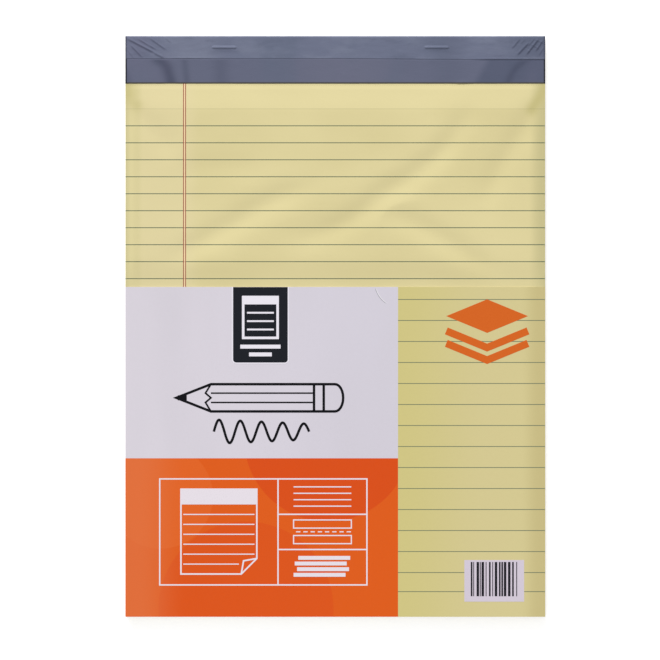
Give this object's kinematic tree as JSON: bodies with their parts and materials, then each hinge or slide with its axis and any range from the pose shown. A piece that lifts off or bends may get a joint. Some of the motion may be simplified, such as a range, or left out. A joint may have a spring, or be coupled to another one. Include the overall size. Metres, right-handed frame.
{
  "type": "legal pad",
  "caption": "Top-bound pad of yellow ruled sheets on a chipboard back, with a folded slate-blue binding strip over its staples and a loose printed card on its lower part.",
  "frame": {"origin": "middle of the pad's box, at the height of the surface that the pad lies on", "axes": "+Y up the page to the binding, +X across the page to the reader's right, +Z out of the page"},
  "size_m": [0.216, 0.2986, 0.0063],
  "materials": {
    "ruled_sheets": "matte yellow paper with printed rules",
    "backing_board": "matte grey chipboard",
    "binding_tape": "slate-blue binding paper with a slight sheen",
    "staples": "bright zinc-coated flat wire",
    "printed_card": "coated card, printed in fields of colour"
  },
  "bodies": {
    "root": {"ruled_sheets": "ruled_sheets", "backing_board": "backing_board", "binding_tape": "binding_tape", "staple_left": "staples", "staple_right": "staples", "printed_card": "printed_card"}
  },
  "joints": []
}
